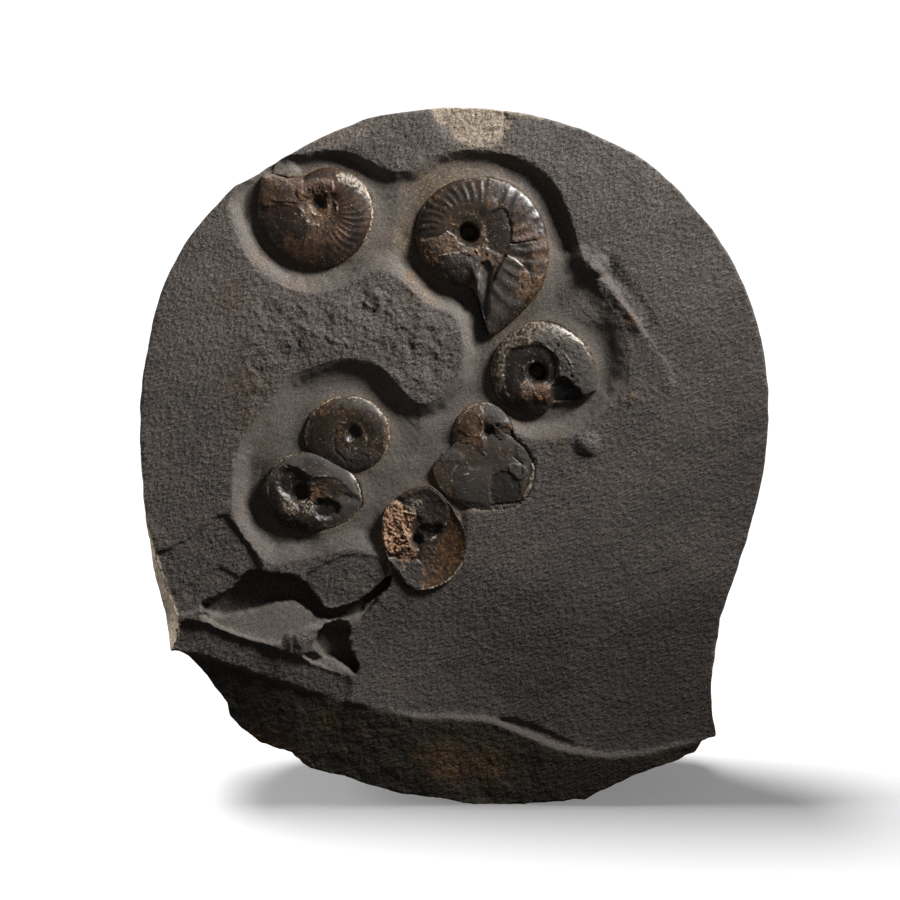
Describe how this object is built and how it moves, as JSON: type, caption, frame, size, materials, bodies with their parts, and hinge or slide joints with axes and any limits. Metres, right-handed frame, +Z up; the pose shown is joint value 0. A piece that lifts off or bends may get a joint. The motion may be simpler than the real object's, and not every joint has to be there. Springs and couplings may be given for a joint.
{
  "type": "ammonite fossil plate",
  "caption": "Standing block of dark grey mudstone with a cluster of brown coiled ammonites prepared out of its front face; broken foot and lower left.",
  "frame": {"origin": "on the floor, under the middle of the object's box", "axes": "+Z up along the plate's height, -Y out of the prepared front face, which leans back by 8 degrees; +X to the viewer's right"},
  "size_m": [0.3144, 0.0908, 0.35],
  "materials": {
    "mudstone": "matte",
    "brown_shell": "satin",
    "dark_shell": "satin",
    "grey_cast": "matte",
    "crystal_fill": "satin"
  },
  "bodies": {
    "root": {"rock_matrix": "mudstone", "ammonite_top_left": "brown_shell", "ammonite_top_large": "dark_shell", "ammonite_middle_right": "dark_shell", "ammonite_pair_upper": "dark_shell", "ammonite_pair_lower": "dark_shell", "ammonite_smooth_cast": "grey_cast", "ammonite_small_broken": "brown_shell", "ammonite_crystal_filled": "crystal_fill"}
  },
  "joints": []
}
